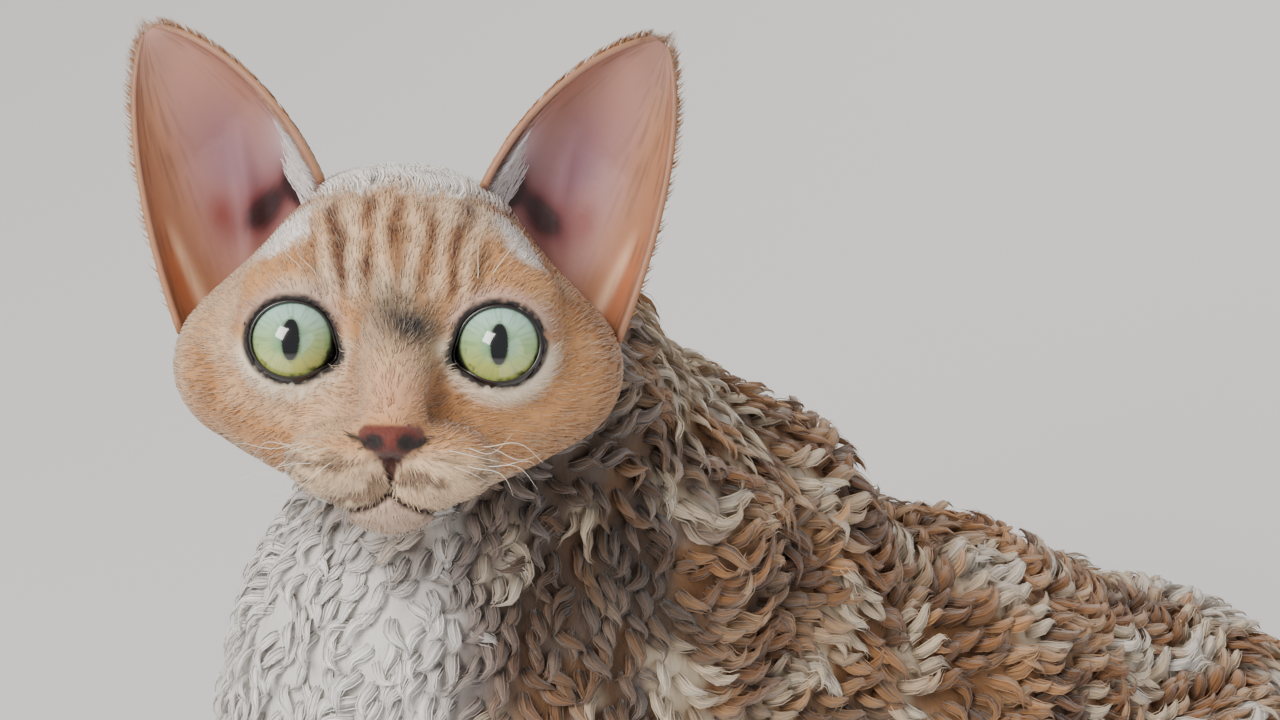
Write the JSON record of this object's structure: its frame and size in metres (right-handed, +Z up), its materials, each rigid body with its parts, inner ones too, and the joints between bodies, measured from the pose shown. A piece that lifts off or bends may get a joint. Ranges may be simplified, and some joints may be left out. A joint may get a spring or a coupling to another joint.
{
  "type": "devon rex cat",
  "caption": "Sitting short-haired cat with a curly coat, large cupped ears and round eyes, its head turned to its left and looking up; a still, life-size model.",
  "frame": {"origin": "on the floor, under the middle of the cat's bounding box", "axes": "+Z up; the body faces -Y; the cat's left side is at +X"},
  "size_m": [0.1896, 0.3871, 0.3432],
  "materials": {
    "coat": "wavy ginger and grey-brown fur with cream flecks, white on the chest",
    "face_fur": "short ginger and cream fur, striped on the forehead",
    "paw_fur": "short pale fur",
    "nose_leather": "matte brick red skin",
    "eye": "wet gloss, pale green iris with a slit pupil",
    "ear_skin": "bare pink skin inside, thin fur outside"
  },
  "bodies": {
    "root": {"head": "face_fur", "neck": "coat", "torso": "coat", "foreleg_left": "coat", "foreleg_right": "coat", "forepaw_left": "paw_fur", "forepaw_right": "paw_fur", "thigh_left": "coat", "thigh_right": "coat", "hindfoot_left": "paw_fur", "hindfoot_right": "paw_fur", "tail_base": "coat", "tail_middle": "coat", "tail_tip": "coat", "nose": "nose_leather", "eye_left": "eye", "ear_left": "ear_skin", "eye_right": "eye", "ear_right": "ear_skin"}
  },
  "joints": []
}
